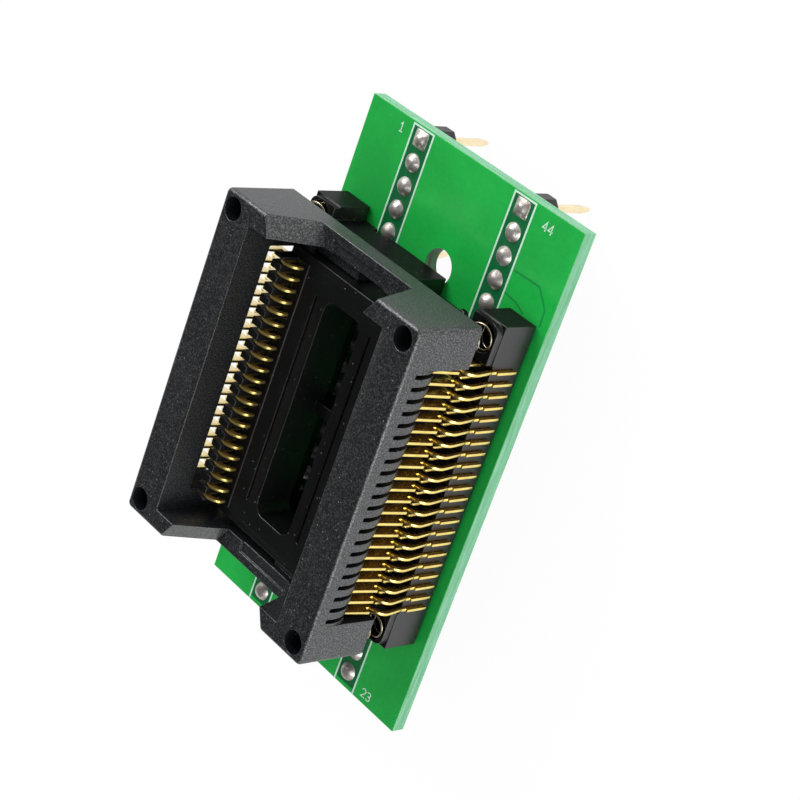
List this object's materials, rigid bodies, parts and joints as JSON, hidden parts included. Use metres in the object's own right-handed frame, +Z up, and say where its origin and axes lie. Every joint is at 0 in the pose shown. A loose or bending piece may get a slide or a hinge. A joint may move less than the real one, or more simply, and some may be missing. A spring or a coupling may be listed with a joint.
{
  "type": "programming socket adapter",
  "caption": "Sprung test socket for a small-outline chip on a circuit board with two rows of header pins; pressing the cover opens the contacts.",
  "frame": {"origin": "centre of the board's outline, level with the tips of the header pins", "axes": "+Z up, out of the socket's open top; +Y along the pin rows towards pins 1 and 44, which have the square solder pads; +X across the rows, from pins 1-22 to pins 23-44"},
  "size_m": [0.0316, 0.0566, 0.0257],
  "materials": {
    "board": "glossy green mask",
    "base_plastic": "fine matt",
    "cover_plastic": "fine matt",
    "header_plastic": "satin",
    "pin_gold": "gold-plated",
    "contact_gold": "gold-plated",
    "solder": "bright solder",
    "spring_steel": "bright drawn wire"
  },
  "bodies": {
    "board_and_base": {"circuit_board": "board", "socket_base": "base_plastic", "header_strip_left": "header_plastic", "header_pins_left": "pin_gold", "header_solder_joints_left": "solder", "end_pin_solder_joint_left": "solder", "contact_blades_left": "contact_gold", "contact_solder_joints_left": "solder", "header_strip_right": "header_plastic", "header_pins_right": "pin_gold", "header_solder_joints_right": "solder", "end_pin_solder_joint_right": "solder", "contact_blades_right": "contact_gold", "contact_solder_joints_right": "solder"},
    "cover": {"socket_cover": "cover_plastic", "return_spring_upper_left": "spring_steel", "return_spring_upper_right": "spring_steel", "return_spring_lower_left": "spring_steel", "return_spring_lower_right": "spring_steel"},
    "contact_row_left": {"contact_arms_left": "contact_gold"},
    "contact_row_right": {"contact_arms_right": "contact_gold"}
  },
  "joints": [
    {"name": "cover_press", "type": "slide", "parent": "board_and_base", "child": "cover", "axis": [0, 0, 1], "range_m": [-0.002, 0], "stiffness_N_per_m": 1500, "springref_m": 0.001, "deforming": ["return_spring_upper_left", "return_spring_upper_right", "return_spring_lower_left", "return_spring_lower_right"]},
    {"name": "contact_swing_right", "type": "hinge", "parent": "board_and_base", "child": "contact_row_right", "pos_m": [0.01466, 0, 0.01395], "axis": [0, 1, 0], "range_deg": [0, 11.46]},
    {"name": "contact_swing_left", "type": "hinge", "parent": "board_and_base", "child": "contact_row_left", "pos_m": [-0.01466, 0, 0.01395], "axis": [0, -1, 0], "range_deg": [0, 11.46]}
  ],
  "couplings": [
    {"joint": "contact_swing_right", "follows": "cover_press", "rad_per_m": -100},
    {"joint": "contact_swing_left", "follows": "cover_press", "rad_per_m": -100}
  ]
}
